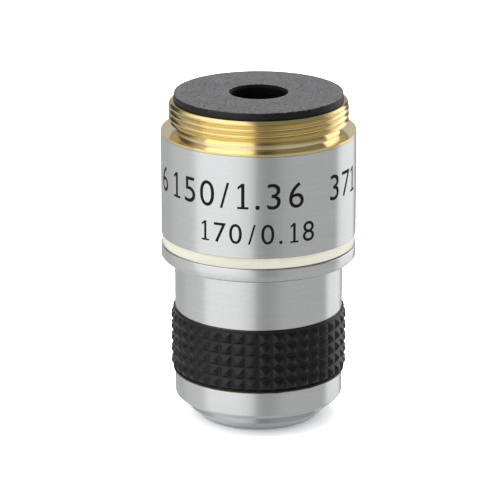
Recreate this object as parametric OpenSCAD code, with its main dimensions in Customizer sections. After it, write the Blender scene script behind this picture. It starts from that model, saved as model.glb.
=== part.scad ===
/* [Mounting thread] */
// Outside diameter of the mounting thread
thread_d = 20.32; // [20:0.01:20.8]
// Pitch of the mounting thread, which sets its depth and its lead-in
thread_pitch = 0.7056; // [0.5:0.0001:0.8]
// Height of the threaded part
thread_h = 2.45; // [2.2:0.05:5]
// Height of the run-out groove under the thread
relief_h = 0.94; // [0.4:0.02:1.5]
// Depth of the run-out groove below the thread's crest
relief_depth = 0.86; // [0.6:0.02:1]
// Height of the shoulder flange
flange_h = 0.33; // [0.2:0.01:1]
// Depth of the run-out groove's undercut in the shoulder
undercut_h = 0.08; // [0.04:0.01:0.15]
// Gap between the thread's crest and the shoulder's flat face
shoulder_gap = 0.1; // [0.05:0.01:0.2]
// Wall between the thread's run-out groove and the seat of the rear stop
seat_wall = 0.7; // [0.5:0.05:0.9]
// Width of the ledge that the rear stop's spigot rests on
seat_ledge = 0.9; // [0.5:0.05:1.2]

/* [Rear stop] */
// Height of the rear stop above the thread
stop_h = 0.85; // [0.5:0.05:2]
// Distance from the thread's root to the stop's edge
stop_inset = 0.17; // [0.1:0.01:0.6]
// How much the stop's side leans in towards its top
stop_draft = 0.08; // [0.02:0.01:0.5]
// Diameter of the light hole
stop_hole_d = 6.1; // [4.6:0.1:8]
// Width of the countersink round the light hole
stop_lip = 0.3; // [0.1:0.05:0.6]
// Depth of the stop's spigot in the mount
stop_spigot_h = 1; // [0.6:0.1:1.8]

/* [Sleeve] */
// Outside diameter of the sleeve, the flange and the collar
sleeve_d = 22.06; // [21.8:0.02:24]
// Height of the sleeve between the colour band and the flange
sleeve_h = 11.62; // [11:0.02:18]
// Wall of the sleeve
sleeve_wall = 0.75; // [0.7:0.05:1]
// Wall of the sleeve's foot, which passes through the colour band
foot_wall = 0.4; // [0.3:0.02:0.44]
// Height of the colour band
band_h = 1.18; // [0.8:0.02:2]
// How far the colour band lies below the sleeve's surface
band_step = 0.1; // [0.04:0.01:0.16]
// Height of the collar
collar_h = 1.6; // [1.2:0.05:3]
// Height of the collar's lip, which holds the barrel in
lip_h = 0.8; // [0.6:0.05:1]

/* [Guide tube and spring] */
// Height of the mount's skirt inside the sleeve
skirt_h = 2.5; // [1.5:0.1:3]
// Wall of the guide tube
guide_wall = 0.8; // [0.6:0.05:0.9]
// Room that is left under the guide tube when the nose is pushed in
guide_play = 1.6; // [0.4:0.1:2]
// Diameter of the spring's wire
wire_d = 0.8; // [0.5:0.05:0.9]
// Free space on each side of the spring
spring_play = 0.59; // [0.3:0.01:0.7]
// Number of turns of the spring
spring_turns = 6.5; // [4:0.5:7]
// Height of the thin ring above the spring
washer_h = 0.3; // [0.2:0.05:0.5]
// Diameter of the guide pin
pin_d = 1.2; // [0.8:0.1:1.6]
// Height of the guide pin above the guide tube's lower end
pin_lift = 2; // [1.6:0.1:2.6]

/* [Sliding barrel] */
// How far the barrel and the nose cap lie inside the sleeve's surface
barrel_step = 1.49; // [1.3:0.01:1.8]
// Length of the smooth barrel between the grip ring and the collar
neck_h = 6.13; // [4:0.01:9]
// How far the nose can slide back
travel = 2.5; // [1:0.1:3]
// Height of the barrel's stop flange
stop_flange_h = 1.2; // [0.8:0.1:1.4]
// How far the barrel's upper tube reaches into the guide tube
tube_reach = 3.7; // [3:0.1:4.5]
// Wall of the barrel's upper tube
tube_wall = 0.86; // [0.6:0.02:1.2]

/* [Grip ring] */
// Height of the grip ring
grip_h = 7.35; // [5:0.05:10]
// How far the studs stand out from the barrel
stud_proud = 0.5; // [0.4:0.02:1]
// Depth of the grooves between the studs
groove_depth = 0.36; // [0.2:0.02:0.5]
// Number of studs round the ring
stud_columns = 40; // [24:1:56]
// Number of rows of studs
stud_rows = 5; // [3:1:7]
// Height of the plain rim at each end
rim_h = 0.26; // [0.1:0.02:0.5]
// Depth of the plain rim below the studs
rim_step = 0.24; // [0.1:0.02:0.3]
// Share of a stud's pitch that its flat tip takes
tip_share = 0.3; // [0.1:0.05:0.6]
// Share of a stud's pitch that the groove's floor takes
floor_share = 0.14; // [0.05:0.01:0.3]
// Depth of the grip ring's seat below the barrel's surface
grip_seat_depth = 0.64; // [0.4:0.02:0.8]

/* [Nose] */
// Height of the nose cap
cap_h = 3.25; // [2.8:0.05:5]
// Height and width of the bevel at the cap's lower edge
cap_bevel = 0.5; // [0.2:0.05:0.7]
// Thickness of the cap's lower wall
cap_floor = 1; // [0.8:0.05:1.4]
// Height of the tip below the cap
tip_h = 2.2; // [1.6:0.05:4]
// Width of the front cell's clamping flange round the tip
cell_flange_w = 0.85; // [0.5:0.05:1.2]
// Width of the tip's cone
tip_cone_w = 1.4; // [1:0.05:1.8]
// Height of the tip's cone
tip_cone_h = 1.25; // [0.8:0.05:1.5]
// Height of the front cell's clamping flange
cell_flange_h = 1; // [0.8:0.05:1.2]
// Wall between the tip's surface and the cup in the front cell
cup_wall = 2.05; // [1.8:0.05:2.6]
// Thickness of the front cell's floor
cup_floor = 1.4; // [1.2:0.05:1.6]

/* [Lenses] */
// Radius of the front lens
front_lens_r = 1; // [0.8:0.05:1.1]
// Width of the lip that holds the front lens
front_lens_lip = 0.15; // [0.1:0.01:0.2]
// Height of the front lens's straight edge
front_lens_edge = 0.3; // [0.2:0.02:0.4]
// How far the front lens lies behind the tip's face
front_lens_set = 0.05; // [0.02:0.01:0.1]
// Diameter of the second lens
meniscus_d = 4.4; // [3.8:0.1:5]
// Thickness of the second lens at its centre
meniscus_h = 1.4; // [1.2:0.05:1.5]
// Height of the ledge under the second lens
meniscus_ledge_h = 0.24; // [0.1:0.02:0.4]
// Wall of the lower cell
lower_cell_wall = 2.7; // [2:0.1:3.2]
// Thickness of the lower pair's first lens at its centre
lower_centre_h = 0.8; // [0.6:0.05:1.2]
// Wall of the upper cell
upper_cell_wall = 2.38; // [1.8:0.02:2.8]
// Thickness of the upper pair's first lens at its centre
upper_centre_h = 0.9; // [0.6:0.05:1.2]
// Thickness of each pair's second lens at its edge
pair_edge_h = 0.36; // [0.2:0.02:0.6]
// How far each cell stands above its lens
cell_guard = 0.3; // [0.1:0.05:0.5]
// Height of the ring between the front cell and the lower cell
front_spacer_h = 2.8; // [2:0.1:3.2]
// Height of the ring between the two cells
rear_spacer_h = 5.8; // [5:0.1:6.4]
// Height of the lock ring
lock_h = 1.2; // [0.8:0.1:1.4]
// Wall of the spacers and the lock ring
spacer_wall = 1.9; // [1.2:0.05:2.2]

/* [Centring screws] */
// Diameter of a centring screw
screw_d = 1.6; // [1:0.1:2]
// How far a centring screw lies below the grip ring's seat
screw_set = 0.28; // [0.1:0.02:0.6]
// Free play of the lower cell that the screws take up
centring_play = 0.3; // [0.15:0.05:0.4]

/* [Fits] */
// Radial clearance of the sliding fits
slide_gap = 0.04; // [0.02:0.01:0.08]
// Radial clearance of the screwed and seated fits
seat_gap = 0.02; // [0.01:0.005:0.04]

/* [Hidden] */
$fn = 96;

// Radii from the sleeve inward
sleeve_r = sleeve_d / 2;
bore_r = sleeve_r - sleeve_wall;
foot_r = bore_r + foot_wall;
guide_outer_r = bore_r - wire_d - 2 * spring_play;
guide_r = guide_outer_r - guide_wall;
tube_r = guide_r - slide_gap;
cell_bore_r = tube_r - tube_wall;
spring_r = (guide_outer_r + bore_r) / 2;
barrel_r = sleeve_r - barrel_step;
stud_r = barrel_r + stud_proud;
grip_seat_r = barrel_r - grip_seat_depth;
tip_r = grip_seat_r - cell_flange_w;
cup_r = tip_r - cup_wall;

// Radii from the thread inward
thread_r = thread_d / 2;
thread_depth = 0.6134 * thread_pitch;
relief_r = thread_r - relief_depth;
seat_r = relief_r - seat_wall;
head_bore_r = seat_r - seat_ledge;
stop_r = thread_r - thread_depth - stop_inset;

// Lens sizes. A surface's radius of curvature is a multiple of its lens's radius
meniscus_r = meniscus_d / 2;
meniscus_hollow_roc = 1.82 * meniscus_r;
meniscus_dome_roc = 1.32 * meniscus_r;
lower_pair_r = cell_bore_r - centring_play - lower_cell_wall;
lower_joint_roc = 1.39 * lower_pair_r;
lower_top_roc = 1.94 * lower_pair_r;
upper_pair_r = cell_bore_r - seat_gap - upper_cell_wall;
upper_joint_roc = 1.67 * upper_pair_r;
upper_top_roc = 2.14 * upper_pair_r;
cement = 0.01;
ledge_h = 0.5;
ledge_w = 0.3;

// Heights of the main joints above the tip's face
cap_z = tip_h;
grip_z = cap_z + cap_h;
neck_z = grip_z + grip_h;
collar_z = neck_z + neck_h;
lip_z = collar_z + lip_h;
band_z = collar_z + collar_h;
sleeve_z = band_z + band_h;
flange_z = sleeve_z + sleeve_h;
shoulder_z = flange_z + flange_h;
thread_z = shoulder_z + relief_h;
mount_top_z = thread_z + thread_h;

// Heights inside the fixed part
skirt_z = flange_z - skirt_h;
washer_z = skirt_z - washer_h;
stop_flange_z = lip_z + stop_flange_h;
guide_z = stop_flange_z + travel + guide_play;
tube_top_z = guide_z + tube_reach;
pin_z = guide_z + pin_lift;
pin_play = 0.3;
slot_floor_z = pin_z - travel - pin_d / 2 - pin_play;
spring_h = washer_z - stop_flange_z;

// Heights inside the nose
cell_flange_z = cap_z + cap_floor;
stack_z = cell_flange_z + cell_flange_h;
meniscus_seat_z = cup_floor + meniscus_ledge_h;
lower_cell_z = stack_z + front_spacer_h;
lower_cell_h = pair_cell_h(lower_pair_r, lower_centre_h, lower_joint_roc, lower_top_roc);
rear_spacer_z = lower_cell_z + lower_cell_h;
upper_cell_z = rear_spacer_z + rear_spacer_h;
upper_cell_h = pair_cell_h(upper_pair_r, upper_centre_h, upper_joint_roc, upper_top_roc);
lock_z = upper_cell_z + upper_cell_h;

// Centring screws
screw_z = lower_cell_z + lower_cell_h / 2;
screw_tip_r = cell_bore_r - centring_play + seat_gap;
screw_end_r = grip_seat_r - screw_set;

// A ring between two heights
module ring(outer, inner, z0, z1) {
    translate([0, 0, z0])
        difference() {
            cylinder(r = outer, h = z1 - z0);
            translate([0, 0, -1]) cylinder(r = inner, h = z1 - z0 + 2);
        }
}

// A solid turned from its half section
module turned(section) {
    rotate_extrude(convexity = 6) polygon(section);
}

// A radial hole or pin at a given height and angle
module radial(r, from, to, z, angle) {
    rotate([0, 0, angle])
        translate([from, 0, z])
            rotate([0, 90, 0]) cylinder(r = r, h = to - from, $fn = 32);
}

// Angle of centring screw i round the axis
function screw_angle(i) = 30 + 120 * i;

// Depth of a lens surface of radius of curvature roc over a lens of radius r
function lens_sag(r, roc) = roc - sqrt(pow(roc, 2) - pow(r, 2));

// Height of a cell that holds a cemented pair and stands a little above it
function pair_cell_h(r, centre_h, joint_roc, top_roc) =
    ledge_h + centre_h + lens_sag(r, joint_roc) + pair_edge_h + lens_sag(r, top_roc) + cell_guard;

// The ball of a lens surface whose vertex is at z and whose centre lies above
// it for up = 1 and below it for up = -1
module lens_ball(z, roc, up) {
    translate([0, 0, z + up * roc]) sphere(r = roc);
}

module thread_mount() {
    color([0.82, 0.66, 0.36])
        difference() {
            turned([
                [guide_r, guide_z],
                [guide_outer_r, guide_z],
                [guide_outer_r, skirt_z],
                [bore_r - seat_gap, skirt_z],
                [bore_r - seat_gap, flange_z],
                [sleeve_r, flange_z],
                [sleeve_r, shoulder_z],
                [thread_r, shoulder_z],
                [thread_r, mount_top_z - 0.7 * thread_depth],
                [thread_r - thread_depth, mount_top_z],
                [seat_r, mount_top_z],
                [seat_r, mount_top_z - stop_spigot_h],
                [head_bore_r, mount_top_z - stop_spigot_h],
                [head_bore_r, flange_z],
                [guide_r, flange_z]
            ]);
            ring(thread_r + shoulder_gap, relief_r, shoulder_z - undercut_h, thread_z);
            radial(pin_d / 2 + seat_gap, guide_r - 1, guide_outer_r + 1, pin_z, 90);
        }
}

module rear_stop() {
    hole_r = stop_hole_d / 2;
    top_z = mount_top_z + stop_h;
    edge = 0.12;
    color([0.12, 0.12, 0.13])
        turned([
            [hole_r, mount_top_z - stop_spigot_h],
            [seat_r - seat_gap, mount_top_z - stop_spigot_h],
            [seat_r - seat_gap, mount_top_z],
            [stop_r, mount_top_z],
            [stop_r - stop_draft + edge, top_z - edge],
            [stop_r - stop_draft, top_z],
            [hole_r + stop_lip, top_z],
            [hole_r, top_z - stop_lip]
        ]);
}

module sleeve() {
    edge = 0.08;
    color([0.78, 0.78, 0.77])
        turned([
            [bore_r, lip_z],
            [foot_r, lip_z],
            [foot_r, sleeve_z],
            [sleeve_r - edge, sleeve_z],
            [sleeve_r, sleeve_z + edge],
            [sleeve_r, flange_z - edge],
            [sleeve_r - edge, flange_z],
            [bore_r, flange_z]
        ]);
}

module colour_band() {
    color([0.93, 0.92, 0.84])
        ring(sleeve_r - band_step, foot_r + seat_gap, band_z, sleeve_z);
}

module collar() {
    edge = 0.1;
    color([0.78, 0.78, 0.77])
        turned([
            [barrel_r + slide_gap, collar_z],
            [sleeve_r - edge, collar_z],
            [sleeve_r, collar_z + edge],
            [sleeve_r, band_z - edge],
            [sleeve_r - edge, band_z],
            [foot_r + seat_gap, band_z],
            [foot_r + seat_gap, lip_z],
            [barrel_r + slide_gap, lip_z]
        ]);
}

// Height of the wire's centre line after t turns, with a closed turn at each end
function wire_height(t) =
    let(
        closed = wire_d * 1.05,
        open = (spring_h - wire_d - 2 * closed) / (spring_turns - 2)
    )
    wire_d / 2 + closed * min(t, 1) + open * max(min(t, spring_turns - 1) - 1, 0)
    + closed * max(t - spring_turns + 1, 0);

module spring() {
    steps = 20;
    sides = 8;
    rings = floor(spring_turns * steps);
    points = [
        for (i = [0 : rings], j = [0 : sides - 1])
            let(
                a = 360 * i / steps,
                b = 360 * j / sides,
                r = spring_r + wire_d / 2 * cos(b)
            )
            [r * cos(a), r * sin(a), stop_flange_z + wire_height(i / steps) + wire_d / 2 * sin(b)]
    ];
    faces = concat(
        [[for (j = [0 : sides - 1]) sides - 1 - j]],
        [
            for (i = [0 : rings - 1], j = [0 : sides - 1])
                let(k = (j + 1) % sides)
                [i * sides + j, i * sides + k, (i + 1) * sides + k, (i + 1) * sides + j]
        ],
        [[for (j = [0 : sides - 1]) rings * sides + j]]
    );
    color([0.6, 0.61, 0.63]) polyhedron(points = points, faces = faces, convexity = 10);
}

module spring_washer() {
    color([0.7, 0.7, 0.7])
        ring(spring_r + wire_d / 2 + seat_gap, guide_outer_r + seat_gap, washer_z, skirt_z);
}

module guide_pin() {
    color([0.6, 0.61, 0.63])
        radial(pin_d / 2, cell_bore_r + seat_gap, guide_outer_r, pin_z, 90);
}

module barrel() {
    edge = 0.1;
    color([0.76, 0.76, 0.75])
        difference() {
            turned([
                [cell_bore_r, stack_z],
                [grip_seat_r, stack_z],
                [grip_seat_r, neck_z],
                [barrel_r - edge, neck_z],
                [barrel_r, neck_z + edge],
                [barrel_r, lip_z],
                [bore_r - slide_gap, lip_z],
                [bore_r - slide_gap, stop_flange_z],
                [tube_r, stop_flange_z],
                [tube_r, tube_top_z],
                [cell_bore_r, tube_top_z]
            ]);
            for (i = [0 : 2])
                radial(screw_d / 2 + seat_gap, cell_bore_r - 1, grip_seat_r + 1, screw_z, screw_angle(i));
            translate([-pin_d / 2 - slide_gap, 0, slot_floor_z])
                cube([pin_d + 2 * slide_gap, tube_r + 1, tube_top_z - slot_floor_z + 1]);
        }
}

module grip_ring() {
    rim_r = stud_r - rim_step;
    floor_r = stud_r - groove_depth;
    pitch_z = (grip_h - 2 * rim_h) / stud_rows;
    pitch_a = 360 / stud_columns;
    floor_half = floor_share / 2;
    tip_half = tip_share / 2;
    // Each stud has a foot and a tip of four corners, counted anticlockwise from outside
    foot_rows = [
        for (row = [0 : stud_rows - 1])
            each [grip_z + rim_h + (row + floor_half) * pitch_z, grip_z + rim_h + (row + 1 - floor_half) * pitch_z]
    ];
    foot_turns = [
        for (col = [0 : stud_columns - 1])
            each [(col + floor_half) * pitch_a, (col + 1 - floor_half) * pitch_a]
    ];
    n = len(foot_turns);
    shell = concat(
        [for (z = [grip_z, grip_z + rim_h]) [rim_r, z]],
        [for (z = foot_rows) [floor_r, z]],
        [for (z = [grip_z + grip_h - rim_h, grip_z + grip_h]) [rim_r, z]]
    );
    m = len(shell);
    shell_points = [
        for (level = shell, a = foot_turns)
            [level[0] * cos(a), level[0] * sin(a), level[1]]
    ];
    tip_points = [
        for (row = [0 : stud_rows - 1], col = [0 : stud_columns - 1], corner = [0 : 3])
            let(
                side = corner == 1 || corner == 2 ? tip_half : -tip_half,
                rise = corner > 1 ? tip_half : -tip_half,
                a = (col + 0.5 + side) * pitch_a,
                z = grip_z + rim_h + (row + 0.5 + rise) * pitch_z
            )
            [stud_r * cos(a), stud_r * sin(a), z]
    ];
    // The shell's cells are open where a stud stands
    shell_faces = [
        for (i = [0 : m - 2], j = [0 : n - 1])
            let(k = (j + 1) % n, is_stud = i >= 2 && i < m - 2 && i % 2 == 0 && j % 2 == 0)
            if (!is_stud) [i * n + j, (i + 1) * n + j, (i + 1) * n + k, i * n + k]
    ];
    stud_faces = [
        for (row = [0 : stud_rows - 1], col = [0 : stud_columns - 1])
            let(
                low = (2 + 2 * row) * n + 2 * col,
                foot = [low, low + 1, low + n + 1, low + n],
                first = m * n + 4 * (row * stud_columns + col),
                tip = [first, first + 1, first + 2, first + 3]
            )
            each concat(
                [[tip[3], tip[2], tip[1], tip[0]]],
                [for (s = [0 : 3]) let(t = (s + 1) % 4) [foot[s], tip[s], tip[t], foot[t]]]
            )
    ];
    end_faces = [
        [for (j = [0 : n - 1]) j],
        [for (j = [0 : n - 1]) (m - 1) * n + n - 1 - j]
    ];
    color([0.13, 0.13, 0.14])
        difference() {
            polyhedron(
                points = concat(shell_points, tip_points),
                faces = concat(shell_faces, stud_faces, end_faces),
                convexity = 10
            );
            translate([0, 0, grip_z - 1]) cylinder(r = grip_seat_r + seat_gap, h = grip_h + 2);
        }
}

module nose_cap() {
    color([0.78, 0.78, 0.77])
        turned([
            [tip_r + seat_gap, cap_z],
            [barrel_r - cap_bevel, cap_z],
            [barrel_r, cap_z + cap_bevel],
            [barrel_r, grip_z],
            [grip_seat_r + seat_gap, grip_z],
            [grip_seat_r + seat_gap, cell_flange_z],
            [tip_r + seat_gap, cell_flange_z]
        ]);
}

module front_cell() {
    lens_r = front_lens_r + seat_gap;
    lens_top = front_lens_set + front_lens_edge;
    face_r = tip_r - tip_cone_w;
    rim_r = front_lens_r - front_lens_lip;
    edge = 0.12;
    color([0.66, 0.69, 0.71])
        turned([
            [rim_r, 0],
            [face_r - edge, 0],
            [face_r, edge],
            [tip_r, tip_cone_h],
            [tip_r, cell_flange_z],
            [grip_seat_r - seat_gap, cell_flange_z],
            [grip_seat_r - seat_gap, stack_z],
            [cup_r, stack_z],
            [cup_r, cup_floor],
            [meniscus_r - ledge_w, cup_floor],
            [lens_r, lens_top],
            [lens_r, front_lens_set],
            [rim_r, front_lens_set]
        ]);
}

module front_lens() {
    edge_top = front_lens_set + front_lens_edge;
    color([0.75, 0.85, 0.9, 0.5]) {
        translate([0, 0, front_lens_set]) cylinder(r = front_lens_r, h = front_lens_edge);
        intersection() {
            translate([0, 0, edge_top]) sphere(r = front_lens_r);
            translate([0, 0, edge_top]) cylinder(r = front_lens_r + 1, h = front_lens_r + 1);
        }
    }
}

module meniscus_cell() {
    color([0.8, 0.66, 0.38])
        turned([
            [meniscus_r - ledge_w, cup_floor],
            [cup_r - seat_gap, cup_floor],
            [cup_r - seat_gap, stack_z],
            [meniscus_r + seat_gap, stack_z],
            [meniscus_r + seat_gap, meniscus_seat_z],
            [meniscus_r - ledge_w, meniscus_seat_z]
        ]);
}

module meniscus_lens() {
    sag = lens_sag(meniscus_r, meniscus_hollow_roc);
    vertex_z = meniscus_seat_z + sag;
    color([0.75, 0.85, 0.9, 0.5])
        difference() {
            intersection() {
                translate([0, 0, meniscus_seat_z]) cylinder(r = meniscus_r, h = sag + meniscus_h + 1);
                lens_ball(vertex_z + meniscus_h, meniscus_dome_roc, -1);
            }
            lens_ball(vertex_z, meniscus_hollow_roc, -1);
        }
}

// A distance ring that fills the barrel's bore
module distance_ring(z0, z1) {
    color([0.16, 0.16, 0.17]) ring(cell_bore_r - seat_gap, cell_bore_r - spacer_wall, z0, z1);
}

module front_spacer() {
    distance_ring(stack_z, lower_cell_z);
}

module rear_spacer() {
    distance_ring(rear_spacer_z, upper_cell_z);
}

// A cell with a ledge at its lower end for a cemented pair
module pair_cell(outer_r, lens_r, z0, h) {
    color([0.8, 0.66, 0.38])
        turned([
            [lens_r - ledge_w, z0],
            [outer_r, z0],
            [outer_r, z0 + h],
            [lens_r + seat_gap, z0 + h],
            [lens_r + seat_gap, z0 + ledge_h],
            [lens_r - ledge_w, z0 + ledge_h]
        ]);
}

// The lower lens of a cemented pair, flat below and hollow above
module flint(lens_r, z0, centre_h, joint_roc) {
    color([0.7, 0.82, 0.86, 0.5])
        difference() {
            translate([0, 0, z0]) cylinder(r = lens_r, h = centre_h + lens_sag(lens_r, joint_roc));
            lens_ball(z0 + centre_h, joint_roc, 1);
        }
}

// The upper lens of a cemented pair, domed on both sides
module crown(lens_r, z0, centre_h, joint_roc, top_roc) {
    joint_z = z0 + centre_h + cement;
    rim_z = joint_z + lens_sag(lens_r, joint_roc) + pair_edge_h;
    vertex_z = rim_z + lens_sag(lens_r, top_roc);
    color([0.78, 0.87, 0.92, 0.5])
        intersection() {
            translate([0, 0, z0]) cylinder(r = lens_r, h = vertex_z - z0 + 1);
            lens_ball(joint_z, joint_roc, 1);
            lens_ball(vertex_z, top_roc, -1);
        }
}

module lower_cell() {
    pair_cell(cell_bore_r - centring_play, lower_pair_r, lower_cell_z, lower_cell_h);
}

module lower_flint() {
    flint(lower_pair_r, lower_cell_z + ledge_h, lower_centre_h, lower_joint_roc);
}

module lower_crown() {
    crown(lower_pair_r, lower_cell_z + ledge_h, lower_centre_h, lower_joint_roc, lower_top_roc);
}

module upper_cell() {
    pair_cell(cell_bore_r - seat_gap, upper_pair_r, upper_cell_z, upper_cell_h);
}

module upper_flint() {
    flint(upper_pair_r, upper_cell_z + ledge_h, upper_centre_h, upper_joint_roc);
}

module upper_crown() {
    crown(upper_pair_r, upper_cell_z + ledge_h, upper_centre_h, upper_joint_roc, upper_top_roc);
}

module lock_ring() {
    slot_w = 0.8;
    slot_h = 0.5;
    color([0.16, 0.16, 0.17])
        difference() {
            ring(cell_bore_r - seat_gap, cell_bore_r - spacer_wall, lock_z, lock_z + lock_h);
            translate([-cell_bore_r - 1, -slot_w / 2, lock_z + lock_h - slot_h])
                cube([2 * cell_bore_r + 2, slot_w, slot_h + 1]);
        }
}

module centring_screws() {
    slot_w = 0.3;
    color([0.3, 0.3, 0.32])
        for (i = [0 : 2])
            difference() {
                radial(screw_d / 2, screw_tip_r, screw_end_r, screw_z, screw_angle(i));
                rotate([0, 0, screw_angle(i)])
                    translate([screw_end_r - slot_w, -screw_d, screw_z - slot_w / 2])
                        cube([slot_w + 1, 2 * screw_d, slot_w]);
            }
}

thread_mount();
rear_stop();
sleeve();
colour_band();
collar();
spring();
spring_washer();
guide_pin();
barrel();
grip_ring();
nose_cap();
front_cell();
front_lens();
meniscus_cell();
meniscus_lens();
front_spacer();
lower_cell();
lower_flint();
lower_crown();
rear_spacer();
upper_cell();
upper_flint();
upper_crown();
lock_ring();
centring_screws();
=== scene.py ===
"""Dresses the solids of a microscope objective with turned, knurled, threaded and engraved pieces.

Lengths are in metres. MM turns a size in millimetres into metres.
"""

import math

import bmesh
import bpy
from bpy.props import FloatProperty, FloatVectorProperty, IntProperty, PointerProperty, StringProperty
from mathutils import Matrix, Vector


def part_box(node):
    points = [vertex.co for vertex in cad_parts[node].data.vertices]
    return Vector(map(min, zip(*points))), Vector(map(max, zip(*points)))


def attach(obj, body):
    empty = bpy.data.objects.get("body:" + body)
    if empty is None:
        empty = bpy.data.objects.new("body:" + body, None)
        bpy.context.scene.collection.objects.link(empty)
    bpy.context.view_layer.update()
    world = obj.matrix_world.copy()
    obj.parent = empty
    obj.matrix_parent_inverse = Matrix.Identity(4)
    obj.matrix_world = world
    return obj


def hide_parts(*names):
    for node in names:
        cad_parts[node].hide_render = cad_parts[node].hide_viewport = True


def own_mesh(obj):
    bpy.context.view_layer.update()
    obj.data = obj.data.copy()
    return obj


bl_info = {
    "name": "Microscope Objective",
    "version": (1, 0, 0),
    "blender": (4, 5, 0),
    "location": "3D View > Sidebar > Objective",
    "description": "Builds the outside, the optics and the stage of a spring-loaded microscope objective",
    "category": "Object",
}

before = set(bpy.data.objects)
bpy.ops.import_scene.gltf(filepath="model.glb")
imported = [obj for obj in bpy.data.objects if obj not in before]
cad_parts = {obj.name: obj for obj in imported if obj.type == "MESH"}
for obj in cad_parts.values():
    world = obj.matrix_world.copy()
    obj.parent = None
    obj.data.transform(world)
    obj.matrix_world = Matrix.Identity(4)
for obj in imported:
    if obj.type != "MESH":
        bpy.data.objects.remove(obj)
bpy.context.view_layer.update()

MM = 0.001
FIXED = "mount"
SLIDING = "nose"


def extent(node):
    """Outer radius, lower end and upper end of a round CAD node."""
    low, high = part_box(node)
    return high[0], low[2], high[2]


# Settings

class ObjectiveSizes(bpy.types.PropertyGroup):
    """Sizes of the details that the solids leave out."""

    segments: IntProperty(
        name="Segments", description="Sides of a turned piece", default=192, min=48, max=256)
    thread_pitch: FloatProperty(
        name="Thread pitch", description="Rise of the mounting thread in one turn",
        default=0.7056 * MM, min=0.5 * MM, max=0.8 * MM, unit="LENGTH", precision=6)
    thread_depth: FloatProperty(
        name="Thread depth", description="Depth of the mounting thread",
        default=0.36 * MM, min=0.3 * MM, max=0.5 * MM, unit="LENGTH", precision=6)
    groove_depth: FloatProperty(
        name="Groove depth", description="Depth of the grooves between the studs of the grip",
        default=0.36 * MM, min=0.2 * MM, max=0.5 * MM, unit="LENGTH", precision=5)
    columns: IntProperty(name="Stud columns", description="Studs round the grip", default=40, min=24, max=56)
    rows: IntProperty(name="Stud rows", description="Rows of studs", default=5, min=3, max=7)
    upper_line: StringProperty(
        name="Upper line", description="Plain numbers of the upper engraved line", default="6 150/1.36 371")
    lower_line: StringProperty(
        name="Lower line", description="Plain numbers of the lower engraved line", default="170/0.18")
    engraving_depth: FloatProperty(
        name="Engraving depth", description="Depth of the engraved numbers",
        default=0.1 * MM, min=0.05 * MM, max=0.2 * MM, unit="LENGTH", precision=5)


class ObjectiveFinishes(bpy.types.PropertyGroup):
    """Colours and roughnesses of the finishes."""

    nickel: FloatVectorProperty(
        name="Nickel", description="Colour of the satin nickel", subtype="COLOR",
        default=(0.735, 0.745, 0.75), min=0, max=1)
    nickel_roughness: FloatProperty(
        name="Nickel roughness", description="Roughness of the satin nickel", default=0.22, min=0.05, max=0.6)
    brass: FloatVectorProperty(
        name="Brass", description="Colour of the lacquered brass", subtype="COLOR",
        default=(0.88, 0.71, 0.35), min=0, max=1)
    band: FloatVectorProperty(
        name="Band", description="Colour of the band round the sleeve", subtype="COLOR",
        default=(0.86, 0.84, 0.7), min=0, max=1)
    black: FloatVectorProperty(
        name="Black", description="Colour of the black coating", subtype="COLOR",
        default=(0.012, 0.012, 0.0125), min=0, max=1)
    tip: FloatVectorProperty(
        name="Tip", description="Colour of the polished tip", subtype="COLOR",
        default=(0.6, 0.64, 0.67), min=0, max=1)


# Shader maths

class Wire:
    """The output of a node, which is added, scaled and compared as a number is."""

    def __init__(self, nodes, socket):
        self.nodes = nodes
        self.socket = socket

    def math(self, operation, *others):
        return self.nodes.node("ShaderNodeMath", {"operation": operation}, (self, *others))

    def __add__(self, other):
        return self.math("ADD", other)

    def __sub__(self, other):
        return self.math("SUBTRACT", other)

    def __mul__(self, other):
        return self.math("MULTIPLY", other)

    def __truediv__(self, other):
        return self.math("DIVIDE", other)

    def __gt__(self, other):
        return self.math("GREATER_THAN", other)

    def __lt__(self, other):
        return self.math("LESS_THAN", other)

    def __rsub__(self, other):
        return self.nodes.node("ShaderNodeMath", {"operation": "SUBTRACT"}, (other, self))

    def __abs__(self):
        return self.math("ABSOLUTE")

    def swing(self, amount):
        """Turns noise from 0 to 1 into an even change to both sides of 0."""
        return (self - 0.5) * amount

    __radd__ = __add__
    __rmul__ = __mul__


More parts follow.
